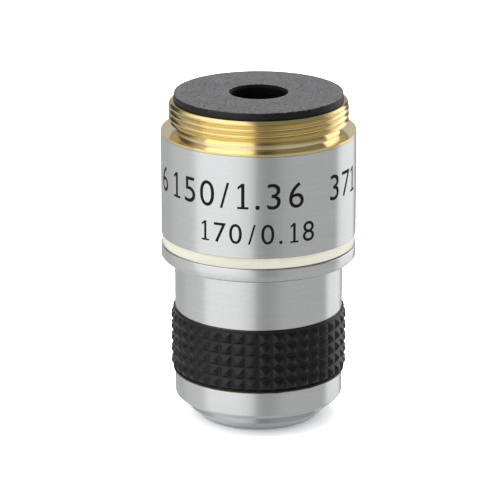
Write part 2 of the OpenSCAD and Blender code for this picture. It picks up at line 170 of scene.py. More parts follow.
class Nodes:
    """A node tree and the ways to fill it."""

    def __init__(self, tree):
        self.tree = tree

    def node(self, kind, settings, values, output=0):
        """Adds a node with its settings, then feeds its sockets, named in a dict or in order."""
        made = self.tree.nodes.new(kind)
        for key, value in settings.items():
            setattr(made, key, value)
        pairs = values.items() if isinstance(values, dict) else enumerate(values)
        for key, value in pairs:
            if isinstance(value, Wire):
                self.tree.links.new(value.socket, made.inputs[key])
            else:
                made.inputs[key].default_value = value
        return Wire(self, made.outputs[output])

    def step(self, value, low, high):
        """A soft step from 0 at low to 1 at high."""
        return self.node(
            "ShaderNodeMapRange", {"interpolation_type": "SMOOTHSTEP"},
            {"Value": value, "From Min": low, "From Max": high, "To Min": 0.0, "To Max": 1.0})

    def mix(self, factor, first, second):
        """A blend of two colours, each a wire or a triple."""
        first, second = (value if isinstance(value, Wire) else (*value, 1) for value in (first, second))
        return self.node(
            "ShaderNodeMix", {"data_type": "RGBA"}, {0: factor, 6: first, 7: second}, output=2)

    def vector(self, *parts):
        return self.node("ShaderNodeCombineXYZ", {}, parts)

    def split(self, vector):
        """The x, y and z of a vector."""
        apart = self.node("ShaderNodeSeparateXYZ", {}, (vector,)).socket.node
        return [Wire(self, socket) for socket in apart.outputs]

    def ray(self, kind):
        """1 for the rays of one kind and 0 for all others."""
        return self.node("ShaderNodeLightPath", {}, {}, output="Is " + kind + " Ray")

    def noise(self, place, scale, detail=2.0, roughness=0.5):
        return self.node(
            "ShaderNodeTexNoise", {},
            {"Vector": place, "Scale": scale, "Detail": detail, "Roughness": roughness})


def socket_label(key):
    """The label of the shader socket that a keyword stands for."""
    return key.replace("_", " ").title().replace("Ior", "IOR")


class Finish(Nodes):
    """A material, with the places on its piece that patterns are made from."""

    def __init__(self, name, **constants):
        self.material = bpy.data.materials.new(name)
        self.material.use_nodes = True
        super().__init__(self.material.node_tree)
        self.shader = self.tree.nodes["Principled BSDF"]
        for key, value in constants.items():
            self.shader.inputs[socket_label(key)].default_value = value
        self.place = self.node("ShaderNodeTexCoord", {}, {}, output="Object")
        self.x, self.y, self.z = self.split(self.place)
        self.radius = (self.x * self.x + self.y * self.y).math("SQRT")

    def lathe_lines(self, fineness, waviness):
        """Fine lines round the axis, as a cutting tool leaves them. Fineness is in lines a metre."""
        away = self.radius.math("MAXIMUM", 1e-5)
        place = self.vector(
            self.x / away * waviness, self.y / away * waviness, (self.radius + self.z) * fineness)
        return self.noise(place, 1.0, 3.0, 0.6)

    def set(self, **wires):
        """Feeds the shader's sockets, named by keyword."""
        for key, wire in wires.items():
            self.tree.links.new(wire.socket, self.shader.inputs[socket_label(key)])
        return self

    def bump(self, *layers):
        """Raises the surface by each (height, strength, depth in metres) in turn."""
        normal = None
        for height, strength, depth in layers:
            values = {"Strength": strength, "Distance": depth, "Height": height}
            if normal:
                values["Normal"] = normal
            normal = self.node("ShaderNodeBump", {}, values)
        return self.set(normal=normal)


def blend(factor, first, second):
    """A mix of two strengths, the first where the factor is 0 and the second where it is 1."""
    return (1 - factor) * first + factor * second


def shade(colour, amount):
    """The colour made darker or lighter."""
    return tuple(channel * amount for channel in colour)


# Modelling helpers

def fresh():
    """Ends edit mode and selects nothing."""
    if bpy.context.object and bpy.context.object.mode != "OBJECT":
        bpy.ops.object.mode_set(mode="OBJECT")
    bpy.ops.object.select_all(action="DESELECT")


def pick(*objects):
    """Selects these objects and makes the first one active."""
    fresh()
    for obj in objects:
        obj.select_set(True)
    bpy.context.view_layer.objects.active = objects[0]


def select_edges(obj, test):
    """In edit mode, selects the edges whose two ends pass the test."""
    bpy.ops.mesh.select_mode(type="EDGE")
    bpy.ops.mesh.select_all(action="DESELECT")
    mesh = bmesh.from_edit_mesh(obj.data)
    for edge in mesh.edges:
        if all(test(obj.matrix_world @ vertex.co) for vertex in edge.verts):
            edge.select_set(True)
    bmesh.update_edit_mesh(obj.data)


def settle(obj):
    """Puts the object's place into its mesh."""
    pick(obj)
    bpy.ops.object.transform_apply(location=True, rotation=True, scale=True)
    return obj


def draw_out(section, segments):
    """In a new object in edit mode, a ring is drawn out along (radius, height) points."""
    fresh()
    radius, height = section[0]
    bpy.ops.mesh.primitive_circle_add(
        vertices=segments, radius=radius, location=(0, 0, height), fill_type="NOTHING")
    obj = bpy.context.object
    bpy.ops.object.mode_set(mode="EDIT")
    bpy.ops.mesh.select_mode(type="VERT")
    bpy.ops.mesh.select_all(action="SELECT")
    for next_radius, next_height in section[1:]:
        bpy.ops.mesh.extrude_region_move(
            TRANSFORM_OT_translate={"value": (0, 0, next_height - height), "orient_type": "GLOBAL"})
        if next_radius > 0:
            grow = next_radius / radius
            bpy.ops.transform.resize(value=(grow, grow, 1), center_override=(0, 0, next_height))
        else:
            bpy.ops.mesh.merge(type="CENTER")
        radius, height = next_radius, next_height
    return obj


def close_up():
    """In edit mode, joins the open ends and turns the faces outwards."""
    bpy.ops.mesh.select_all(action="DESELECT")
    bpy.ops.mesh.select_mode(type="EDGE")
    bpy.ops.mesh.select_non_manifold(
        extend=False, use_wire=True, use_boundary=True,
        use_multi_face=False, use_non_contiguous=False, use_verts=False)
    if any(edge.select for edge in bmesh.from_edit_mesh(bpy.context.object.data).edges):
        bpy.ops.mesh.bridge_edge_loops()
    bpy.ops.mesh.select_all(action="SELECT")
    bpy.ops.mesh.normals_make_consistent(inside=False)
    bpy.ops.object.mode_set(mode="OBJECT")


def apply_modifier(obj, kind, **settings):
    """Adds a modifier with its settings to the active object and applies it."""
    bpy.ops.object.modifier_add(type=kind)
    modifier = obj.modifiers[-1]
    for key, value in settings.items():
        setattr(modifier, key, value)
    bpy.ops.object.modifier_apply(modifier=modifier.name)


def break_edges(obj, width, angle=25):
    """Rounds the edges that are sharper than the angle."""
    pick(obj)
    apply_modifier(
        obj, "BEVEL", width=width, segments=2, limit_method="ANGLE",
        angle_limit=math.radians(angle), miter_outer="MITER_ARC")


def carve(obj, *tools):
    """Cuts the tools out of the piece and deletes them. A cut that fails leaves too few faces."""
    before = len(obj.data.polygons)
    for tool in tools:
        pick(obj)
        apply_modifier(obj, "BOOLEAN", operation="DIFFERENCE", solver="EXACT", object=tool)
        pick(tool)
        bpy.ops.object.delete()
    if len(obj.data.polygons) <= before:
        raise RuntimeError(obj.name + " was not cut")


def turned(name, section, corner):
    """A closed ring turned from (radius, height) points in order round its half section.

    Its edges are broken by the width of the corner.
    """
    obj = draw_out(section, bpy.context.scene.objective_sizes.segments)
    close_up()
    obj.name = name
    settle(obj)
    break_edges(obj, corner)
    return obj


def pole(name, section, segments):
    """A closed solid turned from points that start and end on the axis."""
    obj = draw_out(section[1:], segments)
    radius, height = section[1]
    near = 1e-7
    select_edges(obj, lambda at: abs(at.z - height) < near and abs(at.xy.length - radius) < near)
    bpy.ops.mesh.extrude_region_move(
        TRANSFORM_OT_translate={"value": (0, 0, section[0][1] - height), "orient_type": "GLOBAL"})
    bpy.ops.mesh.merge(type="CENTER")
    bpy.ops.mesh.select_all(action="SELECT")
    bpy.ops.mesh.normals_make_consistent(inside=False)
    bpy.ops.object.mode_set(mode="OBJECT")
    obj.name = name
    return settle(obj)


def peg(radius, start, end, height, angle):
    """A radial peg, used as a cutting tool."""
    fresh()
    reach = (start + end) / 2
    bpy.ops.mesh.primitive_cylinder_add(
        vertices=32, radius=radius, depth=end - start,
        location=(reach * math.cos(angle), reach * math.sin(angle), height), rotation=(0, math.pi / 2, angle))
    return settle(bpy.context.object)


def finish_piece(obj, body, nodes, look, smooth=30):
    """Smooths the piece, gives it its material and its body, and hides the nodes that it stands for."""
    pick(obj)
    bpy.ops.object.shade_smooth_by_angle(angle=math.radians(smooth))
    apply_modifier(obj, "WEIGHTED_NORMAL", keep_sharp=True)
    obj.data.materials.clear()
    obj.data.materials.append(look.material)
    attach(obj, body)
    if nodes:
        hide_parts(*nodes)


# Finishes

_made = {}


def finish(name):
    """The finish of that name, made when it is first asked for."""
    if name not in _made:
        _made[name] = MAKERS[name](bpy.context.scene.objective_finishes)
    return _made[name]


def satin_nickel(looks):
    """Nickel plate over fine turning, with faint long streaks."""
    made = Finish("satin_nickel", metallic=1.0)
    fine = made.lathe_lines(9000, 2.0)
    broad = made.lathe_lines(1600, 1.0)
    cloud = made.noise(made.place, 260.0, 3.0)
    speck = made.noise(made.place, 4200.0, 2.0, 0.7)
    tone = fine.swing(0.5) + broad.swing(0.2) + speck.swing(0.4) + cloud.swing(0.06) + 0.5
    plate = made.mix(tone, shade(looks.nickel, 0.86), shade(looks.nickel, 1.14))
    made.set(
        base_color=plate,
        roughness=fine.swing(0.14) + cloud.swing(0.06) + looks.nickel_roughness)
    return made.bump((fine, 0.35, 0.012 * MM), (broad, 0.2, 0.02 * MM), (speck, 0.25, 0.006 * MM))


def lacquered_brass(looks):
    """Turned brass under clear lacquer, with painted shade in the roots of the thread and painted highlights
    on its crests and its neck.
    """
    made = Finish("lacquered_brass", metallic=1.0, coat_weight=0.15, coat_roughness=0.12)
    fine = made.lathe_lines(7000, 2.0)
    cloud = made.noise(made.place, 420.0, 4.0)
    shoulder_z, thread_z = 33.62 * MM, 34.61 * MM
    threaded = made.z > thread_z
    # Painted shade: the roots of the thread are darkened, as shade falls in the grooves
    root = (1 - made.step(made.radius, 9.8 * MM, 9.86 * MM)) * threaded
    # Painted highlight: the crests of the thread are made paler
    crest_highlight = made.step(made.radius, 10.1 * MM, 10.15 * MM) * threaded
    # Painted highlight: the plain neck below the thread is made paler, as a bright reflection
    neck_highlight = (1 - threaded) * (made.z > shoulder_z)
    tone = fine.swing(0.35) + cloud.swing(0.25) + 0.5
    clean = made.mix(tone, shade(looks.brass, 0.88), shade(looks.brass, 1.1))
    root_shaded = made.mix(root * 0.4, clean, (0.36, 0.29, 0.15))
    made.set(
        base_color=made.mix(crest_highlight * 0.1 + neck_highlight * 0.4, root_shaded, (0.97, 0.87, 0.62)),
        roughness=fine.swing(0.1) + cloud.swing(0.06) + root * 0.14 + 0.13)
    return made.bump((fine, 0.3, 0.012 * MM))


def black_coat(looks):
    """Matt black coating with a fine grain over faint turning, on the rear stop, with painted shade making
    the side of the rim darker than its top.
    """
    made = Finish("black_coat", ior=1.42)
    grain = made.noise(made.place, 3400.0, 3.0, 0.85)
    turning = made.lathe_lines(5200, 1.0)
    cloud = made.noise(made.place, 500.0, 3.0)
    scratch = (1 - made.step(abs(made.y), 0.02 * MM, 0.07 * MM)) * (made.x < -3.4 * MM) * (made.x > -5.6 * MM)
    # Painted shade: the side of the rim, below the top face, is darker than the top
    side = 1 - made.step(made.z, 37.78 * MM, 37.89 * MM)
    tone = grain.swing(4.4) + cloud.swing(0.5) + scratch * 0.4 + 0.48
    face = made.mix(tone, shade(looks.black, 0.6), shade(looks.black, 12.0))
    # Colour of the rim's side: painted shade, with a few light specks
    edge = made.mix(made.step(grain, 0.5, 0.8), shade(looks.black, 0.05), shade(looks.black, 2.5))
    made.set(
        base_color=made.mix(side, face, edge),
        roughness=grain.swing(0.5) + cloud.swing(0.1) - scratch * 0.12 + side * 0.1 + 0.36)
    return made.bump((turning, 0.16, 0.02 * MM), (grain, 0.9, 0.03 * MM))


def knurl_black(looks):
    """Black anodised knurl with painted shade that leaves the tips of the studs lighter than the grooves,
    smoother on the tips and rubbed through at its foot.
    """
    made = Finish("knurl_black", ior=1.42)
    grain = made.noise(made.place, 5200.0, 3.0, 0.75)
    cloud = made.noise(made.place, 600.0, 3.0)
    # Painted shade: the studs are lighter towards their tips and darker down in the grooves
    tip = made.step(made.radius, 9.9 * MM, 10.04 * MM)
    tone = grain.swing(0.7) + cloud.swing(0.4) + tip * 0.35 + 0.3
    foot_z = 5.53 * MM
    rubbed = (made.z < foot_z) * made.step(cloud, 0.3, 0.6)
    coat = made.mix(tone, shade(looks.black, 0.1), shade(looks.black, 0.7))
    made.set(
        base_color=made.mix(rubbed, coat, (0.42, 0.33, 0.17)),
        metallic=rubbed,
        roughness=grain.swing(0.3) - tip * 0.06 + 0.32)
    return made.bump((grain, 0.7, 0.02 * MM))


def cream_enamel(looks):
    """Glossy cream enamel with a slight ripple and specks."""
    made = Finish("cream_enamel", coat_weight=0.4, coat_roughness=0.12, ior=1.5)
    cloud = made.noise(made.place, 350.0, 3.0)
    speck = made.step(made.noise(made.place, 3500.0, 1.0), 0.68, 0.75)
    tone = made.mix(cloud, shade(looks.band, 0.95), shade(looks.band, 1.05))
    made.set(base_color=made.mix(speck * 0.15, tone, (0.5, 0.45, 0.3)), roughness=cloud.swing(0.15) + 0.34)
    return made.bump((cloud, 0.1, 0.02 * MM))


def tip_nickel(looks):
    """Polished nickel on the tip, with fine turning and a bluish tone, and painted shade on the wall above
    its cone and on the foot of the cone.
    """
    made = Finish("tip_nickel", metallic=1.0)
    fine = made.lathe_lines(8000, 2.0)
    cloud = made.noise(made.place, 400.0, 3.0)
    # Painted shade: darker on the wall above the cone and on the foot of the cone, near the floor's shadow
    upper, lower = made.step(made.z, 1.2 * MM, 1.3 * MM), 1 - made.step(made.z, 0.15 * MM, 0.8 * MM)
    cone_end_shade = upper * 0.2 + lower * 0.5
    tone = fine.swing(0.4) + cloud.swing(0.2) + 0.5
    plate = made.mix(tone, shade(looks.tip, 0.9), shade(looks.tip, 1.1))
    made.set(
        base_color=made.mix(cone_end_shade, plate, shade(looks.tip, 0.2)),
        roughness=fine.swing(0.1) + cloud.swing(0.06) + 0.2)
    return made.bump((fine, 0.3, 0.01 * MM))


def engraving_black(looks):
    """Dull black filling of the engraved numbers."""
    made = Finish("engraving_black", specular_ior_level=0.15)
    grain = made.noise(made.place, 12000.0, 2.0, 0.7)
    made.set(
        base_color=made.mix(grain, (0.002, 0.002, 0.002), (0.014, 0.014, 0.015)),
        roughness=grain.swing(0.3) + 0.6)
    return made.bump((grain, 0.4, 0.01 * MM))


def cell_brass(looks):
    """Bare turned brass of the lens cells."""
    made = Finish("cell_brass", metallic=1.0)
    fine = made.lathe_lines(6000, 1.0)
    cloud = made.noise(made.place, 500.0, 3.0)
    made.set(
        base_color=made.mix((fine + cloud) * 0.5, shade(looks.brass, 0.75), shade(looks.brass, 0.95)),
        roughness=fine.swing(0.2) + 0.34)
    return made.bump((fine, 0.4, 0.015 * MM))


def blackened(looks):
    """Blackened metal inside the light path, which keeps stray light down."""
    made = Finish("blackened", specular_ior_level=0.08)
    fine = made.lathe_lines(4200, 0.5)
    cloud = made.noise(made.place, 800.0, 3.0)
    made.set(
        base_color=made.mix((fine + cloud) * 0.5, (0.001, 0.001, 0.001), (0.006, 0.006, 0.006)),
        roughness=fine.swing(0.3) + 0.62)
    return made.bump((fine, 0.5, 0.03 * MM))


def spring_steel(looks):
    """Drawn steel wire with lengthwise marks and a trace of oil."""
    made = Finish("spring_steel", metallic=1.0)
    drawn = made.noise(made.vector(made.x * 900, made.y * 900, made.z * 5200), 1.0, 3.0)
    oil = made.noise(made.place, 700.0, 2.0)
    made.set(
        base_color=made.mix(drawn, (0.36, 0.36, 0.37), (0.6, 0.6, 0.6)),
        roughness=drawn.swing(0.2) + oil.swing(0.12) + 0.3)
    return made.bump((drawn, 0.3, 0.01 * MM))


def coated_glass(looks):
    """Clear glass with a faint coating."""
    made = Finish("coated_glass", ior=1.52, transmission_weight=1.0)
    dust = made.step(made.noise(made.place, 5000.0, 1.0), 0.7, 0.76)
    made.set(
        base_color=made.mix(dust * 0.3, (0.9, 0.97, 0.95), (0.75, 0.72, 0.8)),
        roughness=dust * 0.2 + 0.01)
    return made


MAKERS = {
    maker.__name__: maker for maker in (
        satin_nickel, lacquered_brass, black_coat, knurl_black, cream_enamel, tip_nickel,
        engraving_black, cell_brass, blackened, spring_steel, coated_glass)
}


# Pieces of the fixed part

class OBJECTIVE_OT_rear_stop(bpy.types.Operator):
    """Turn the black disc with the light hole"""

    bl_idname = "objective.rear_stop"
    bl_label = "Rear Stop"

    def execute(self, context):
        rim, bottom, top = extent("rear_stop")
        seat, head, draft = 8.58 * MM, 37.05 * MM, 0.08 * MM
        hole, lip = 3.05 * MM, 0.3 * MM
        relief, relief_z = 0.05 * MM, top - 1.1 * MM
        obj = turned("rear_stop_disc", [
            (hole, bottom),
            (seat, bottom),
            (seat, head),
            (rim, head),
            (rim - draft, top),
            (hole + lip, top),
            (hole, top - lip),
            (hole, relief_z),
            (hole + relief, relief_z - 2 * relief),
        ], corner=0.13 * MM)
        finish_piece(obj, FIXED, ["rear_stop"], finish("black_coat"))
        obj.data.materials.append(finish("blackened").material)
        for face in obj.data.polygons:
            inside = face.center.xy.length < hole + lip - relief
            if inside or face.center.z < head:
                face.material_index = 1
        return {"FINISHED"}


class OBJECTIVE_OT_brass_mount(bpy.types.Operator):
    """Turn the brass mount and cut its thread"""

    bl_idname = "objective.brass_mount"
    bl_label = "Brass Mount"

    def execute(self, context):
        sizes = context.scene.objective_sizes
        flange_r, low, top = extent("thread_mount")
        _, stop_low, _ = extent("rear_stop")
        bottom = extent("sleeve")[2]
        shoulder, thread_z = 33.66 * MM, 34.6 * MM
        crest, root = 10.16 * MM, 10.16 * MM - sizes.thread_depth
        guide_r, guide_outer, skirt_r, skirt_z = 7.5 * MM, 8.3 * MM, 10.26 * MM, 30.83 * MM
        relief, seat, ledge = 9.3 * MM, 8.6 * MM, 7.7 * MM
        run_out, lead_in = 0.12 * MM, 0.3 * MM
        pin_hole, pin_z = 0.62 * MM, 27.03 * MM
        obj = turned("brass_mount", [
            (guide_r, low),
            (guide_outer, low),
            (guide_outer, skirt_z),
            (skirt_r, skirt_z),
            (skirt_r, bottom),
            (flange_r, bottom),
            (flange_r, shoulder),
            (relief, shoulder),
            (relief, thread_z),
            (root, thread_z),
            (crest - run_out / 6, thread_z + run_out),
            (crest, top - lead_in),
            (root, top),
            (seat, top),
            (seat, stop_low),
            (ledge, stop_low),
            (ledge, bottom),
            (guide_r, bottom),
        ], corner=0.035 * MM)
        pin = peg(pin_hole, guide_r - 1 * MM, guide_outer + 1 * MM, pin_z, math.pi / 2)
        carve(obj, pin, self.thread_tool(sizes, crest, root, thread_z))
        finish_piece(obj, FIXED, ["thread_mount"], finish("lacquered_brass"), smooth=38)
        return {"FINISHED"}

    def thread_tool(self, sizes, crest, root, thread_z):
        """The helical groove between the crests, as a closed coil with rounded root and crests."""
        pitch = sizes.thread_pitch
        half = pitch / 2
        start = thread_z - 0.47 * MM
        turns, steps = 5, 144
        # Upper side of the groove as (radius, height above its middle)
        side = [
            (root, 0.0),
            (root + 0.01 * MM, 0.04 * MM),
            (root + 0.04 * MM, 0.065 * MM),
            (crest - 0.05 * MM, half - 0.09 * MM),
            (crest - 0.018 * MM, half - 0.06 * MM),
            (crest, half - 0.02 * MM),
            (crest + 0.09 * MM, half - 0.01 * MM),
        ]
        loop = side + [(r, -w) for r, w in reversed(side[1:])]
        fresh()
        bpy.ops.mesh.primitive_circle_add(vertices=len(loop), radius=pitch, fill_type="NOTHING")
        obj = bpy.context.object
        for vertex, (r, w) in zip(obj.data.vertices, loop):
            vertex.co = (-r, 0, start + w)
        apply_modifier(
            obj, "SCREW", axis="Z", angle=math.tau, screw_offset=pitch, iterations=turns,
            steps=steps, render_steps=steps, use_merge_vertices=False)
        bpy.ops.object.mode_set(mode="EDIT")
        bpy.ops.mesh.select_all(action="SELECT")
        bpy.ops.mesh.fill_holes(sides=0)
        bpy.ops.mesh.normals_make_consistent(inside=False)
        bpy.ops.object.mode_set(mode="OBJECT")
        return settle(obj)


class OBJECTIVE_OT_sleeve(bpy.types.Operator):
    """Turn the sleeve, engrave its numbers and fill them with black"""

    bl_idname = "objective.sleeve"
    bl_label = "Engraved Sleeve"

    # Azimuth of each number in degrees, foot and height of the line, and how much its strokes are thinned
    UPPER = (-71, -55.4, -43.7, -31.2, -20, -9.2, -0.8, 8.6, 22, 49.5, 61.5, 71), 27.4 * MM, 2.95 * MM, 0.001
    LOWER = (-32.4, -22.9, -13.5, -4, 5.1, 12.7, 20.8, 29.8), 23.4 * MM, 2.3 * MM, 0.0
    # Outline of the number one as (x, y), where a capital is 0.7 high
    CAPITAL = 0.7
    FLAGGED_ONE = (
        (-0.15, 0), (0.15, 0), (0.15, 0.062), (0.044, 0.062), (0.044, 0.69), (-0.03, 0.69),
        (-0.14, 0.6), (-0.14, 0.525), (-0.044, 0.59), (-0.044, 0.062), (-0.15, 0.062))

    def execute(self, context):
        sizes = context.scene.objective_sizes
        outer, lip_z, top = extent("sleeve")
        bore, foot, shelf = 10.28 * MM, 10.68 * MM, extent("colour_band")[2]
        obj = turned("engraved_sleeve", [
            (bore, lip_z),
            (foot, lip_z),
            (foot, shelf),
            (outer, shelf),
            (outer, top),
            (bore, top),
        ], corner=0.08 * MM)
        rows = ((sizes.upper_line, *self.UPPER), (sizes.lower_line, *self.LOWER))
        floor = outer - sizes.engraving_depth
        tool = self.numbers(rows, floor, 3 * sizes.engraving_depth)
        paint = self.numbers(rows, floor, 0.5 * sizes.engraving_depth)
        carve(obj, tool)
        finish_piece(obj, FIXED, ["sleeve"], finish("satin_nickel"))
        paint.name = "engraving_paint"
        finish_piece(paint, FIXED, [], finish("engraving_black"))
        return {"FINISHED"}

    def numbers(self, rows, floor, depth):
        """All the numbers, standing out from flat floors round the sleeve."""
        glyphs = []
        for line, azimuths, base, height, thinning in rows:
            for letter, azimuth in zip(line.replace(" ", ""), azimuths):
                glyphs.append(self.glyph(letter, base, height, thinning, math.radians(azimuth), floor, depth))
        pick(*glyphs)
        bpy.ops.object.join()
        return settle(bpy.context.object)

    def flat_letter(self, letter, thinning, azimuth):
        """A flat number that stands upright and faces out. A one has a flag and a foot."""
        upright = (math.pi / 2, 0, azimuth)
        fresh()
        if letter == "1":
            points = self.FLAGGED_ONE
            bpy.ops.mesh.primitive_circle_add(
                vertices=len(points), radius=1, fill_type="NGON", rotation=upright)
            obj = bpy.context.object
            for vertex, (x, y) in zip(obj.data.vertices, points):
                vertex.co = (x, y, 0)
            return obj
        bpy.ops.object.text_add(rotation=upright)
        obj = bpy.context.object
        obj.data.body = letter
        obj.data.offset = -thinning
        obj.data.resolution_u = 5
        bpy.ops.object.convert(target="MESH")
        return bpy.context.object

    def glyph(self, letter, base, height, thinning, azimuth, floor, depth):
        """A number that stands out from its flat floor, with its middle at the azimuth."""
        obj = self.flat_letter(letter, thinning, azimuth)
        xs = [vertex.co.x for vertex in obj.data.vertices]
        middle = (min(xs) + max(xs)) / 2
        scale = height / self.CAPITAL
        out = Vector((math.sin(azimuth), -math.cos(azimuth), 0))
        along = Vector((math.cos(azimuth), math.sin(azimuth), 0))
        obj.scale = (scale, scale, scale)
        obj.location = out * floor - along * middle * scale + Vector((0, 0, base))
        settle(obj)
        bpy.ops.object.mode_set(mode="EDIT")
        bpy.ops.mesh.select_all(action="SELECT")
        bpy.ops.mesh.remove_doubles(threshold=0.002 * MM)
        bpy.ops.mesh.select_all(action="SELECT")
        bpy.ops.mesh.extrude_region_move(
            TRANSFORM_OT_translate={"value": tuple(out * depth), "orient_type": "GLOBAL"})
        bpy.ops.mesh.select_all(action="SELECT")
        bpy.ops.mesh.normals_make_consistent(inside=False)
        bpy.ops.object.mode_set(mode="OBJECT")
        return obj


class OBJECTIVE_OT_band_and_collar(bpy.types.Operator):
    """Turn the cream band and the collar under it"""

    bl_idname = "objective.band_and_collar"
    bl_label = "Band and Collar"

    def execute(self, context):
        outer, low, top = extent("colour_band")
        foot = 10.7 * MM
        band = turned("cream_band", [
            (foot, low), (outer, low), (outer, top), (foot, top),
        ], corner=0.06 * MM)
        finish_piece(band, FIXED, ["colour_band"], finish("cream_enamel"))
        outer, low, top = extent("collar")
        bore, lip = 9.58 * MM, extent("sleeve")[1]
        edge, gap, slope, deep = 0.15 * MM, 0.1 * MM, 0.05 * MM, 0.35 * MM
        uneven = 0.006
        collar = turned("collar_ring", [
            (bore, low), (outer - edge, low), (outer, low + edge), (outer, top - gap - slope),
            (outer - slope, top - gap), (outer - deep, top - gap), (outer - deep, top),
            (foot, top), (foot, lip), (bore, lip),
        ], corner=0.025 * MM)
        for vertex in collar.data.vertices:
            if vertex.co.xy.length > outer - 0.1 * MM and vertex.co.z > top - gap - 2 * slope:
                vertex.co.z -= uneven * vertex.co.x
        finish_piece(collar, FIXED, ["collar"], finish("satin_nickel"))
        return {"FINISHED"}


class OBJECTIVE_OT_spring(bpy.types.Operator):
    """Wind the spring with a closed turn at each end"""

    bl_idname = "objective.spring"
    bl_label = "Spring"

    def execute(self, context):
        _, low, top = extent("spring")
        wire, radius, turns, travel = 0.8 * MM, 9.29 * MM, 6.5, 2.5 * MM
        closed = 1.05 * wire
        open_rise = (top - low - wire - 2 * closed) / (turns - 2)
        start = low + wire / 2
        stretches = (
            (0, 1, closed, start),
            (1, turns - 2, open_rise, start + closed),
            (turns - 1, 1, closed, top - wire / 2 - closed))
        parts = [self.coil(radius, wire / 2, *stretch) for stretch in stretches]
        pick(*parts)
        bpy.ops.object.join()
        obj = bpy.context.object
        bpy.ops.object.mode_set(mode="EDIT")
        bpy.ops.mesh.select_all(action="SELECT")
        bpy.ops.mesh.remove_doubles(threshold=0.01 * MM)
        bpy.ops.mesh.fill_holes(sides=0)
        bpy.ops.mesh.select_all(action="SELECT")
        bpy.ops.mesh.normals_make_consistent(inside=False)
        bpy.ops.object.mode_set(mode="OBJECT")
        obj.name = "coil_spring"
        settle(obj)
        finish_piece(obj, FIXED, ["spring"], finish("spring_steel"), smooth=50)
        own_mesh(obj)
        return {"FINISHED"}

    def coil(self, radius, wire_r, first, turns, rise, height):
        """A stretch of the wire that starts after `first` turns and rises by `rise` in each."""
        fresh()
        angle, steps = math.tau * first, int(48 * turns)
        bpy.ops.mesh.primitive_circle_add(
            vertices=14, radius=wire_r, fill_type="NOTHING", rotation=(math.pi / 2, 0, angle),
            location=(radius * math.cos(angle), radius * math.sin(angle), height))
        obj = settle(bpy.context.object)
        apply_modifier(
            obj, "SCREW", axis="Z", angle=math.tau * turns, screw_offset=rise * turns, iterations=1,
            steps=steps, render_steps=steps, use_merge_vertices=False)
        return obj


class OBJECTIVE_OT_small_steel(bpy.types.Operator):
    """Finish the ring above the spring and the guide pin"""

    bl_idname = "objective.small_steel"
    bl_label = "Washer and Pin"

    def execute(self, context):
        for node in ("spring_washer", "guide_pin"):
            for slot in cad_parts[node].material_slots:
                slot.material = finish("spring_steel").material
        return {"FINISHED"}


# Pieces of the sliding nose

class OBJECTIVE_OT_barrel(bpy.types.Operator):
    """Turn the sliding barrel with its slot and screw holes"""

    bl_idname = "objective.barrel"
    bl_label = "Sliding Barrel"

    def execute(self, context):
        stop_r, low, top = extent("barrel")
        neck_z = extent("grip_ring")[2]
        bore, seat, outer, tube = 6.6 * MM, 8.9 * MM, 9.54 * MM, 7.46 * MM
        lip_z, stop_z = extent("sleeve")[1], 20.93 * MM
        obj = turned("sliding_barrel", [
            (bore, low),
            (seat, low),
            (seat, neck_z),
            (outer, neck_z),
            (outer, lip_z),
            (stop_r, lip_z),
            (stop_r, stop_z),
            (tube, stop_z),
            (tube, top),
            (bore, top),
        ], corner=0.08 * MM)
        _, screw_low, screw_top = extent("centring_screws")
        screw_hole, screw_z = 0.82 * MM, (screw_low + screw_top) / 2
        holes = [
            peg(screw_hole, bore - 1 * MM, outer + 0.26 * MM, screw_z, math.radians(30 + 120 * i))
            for i in range(3)]
        slot_w, slot_deep, slot_h, slot_y, slot_z = 1.28 * MM, 2.9 * MM, 10 * MM, 7 * MM, 23.63 * MM
        fresh()
        bpy.ops.mesh.primitive_cube_add(size=1, location=(0, slot_y, slot_z + slot_h / 2))
        slot = bpy.context.object
        slot.scale = (slot_w, slot_deep, slot_h)
        carve(obj, *holes, settle(slot))
        finish_piece(obj, SLIDING, ["barrel"], finish("satin_nickel"))
        return {"FINISHED"}


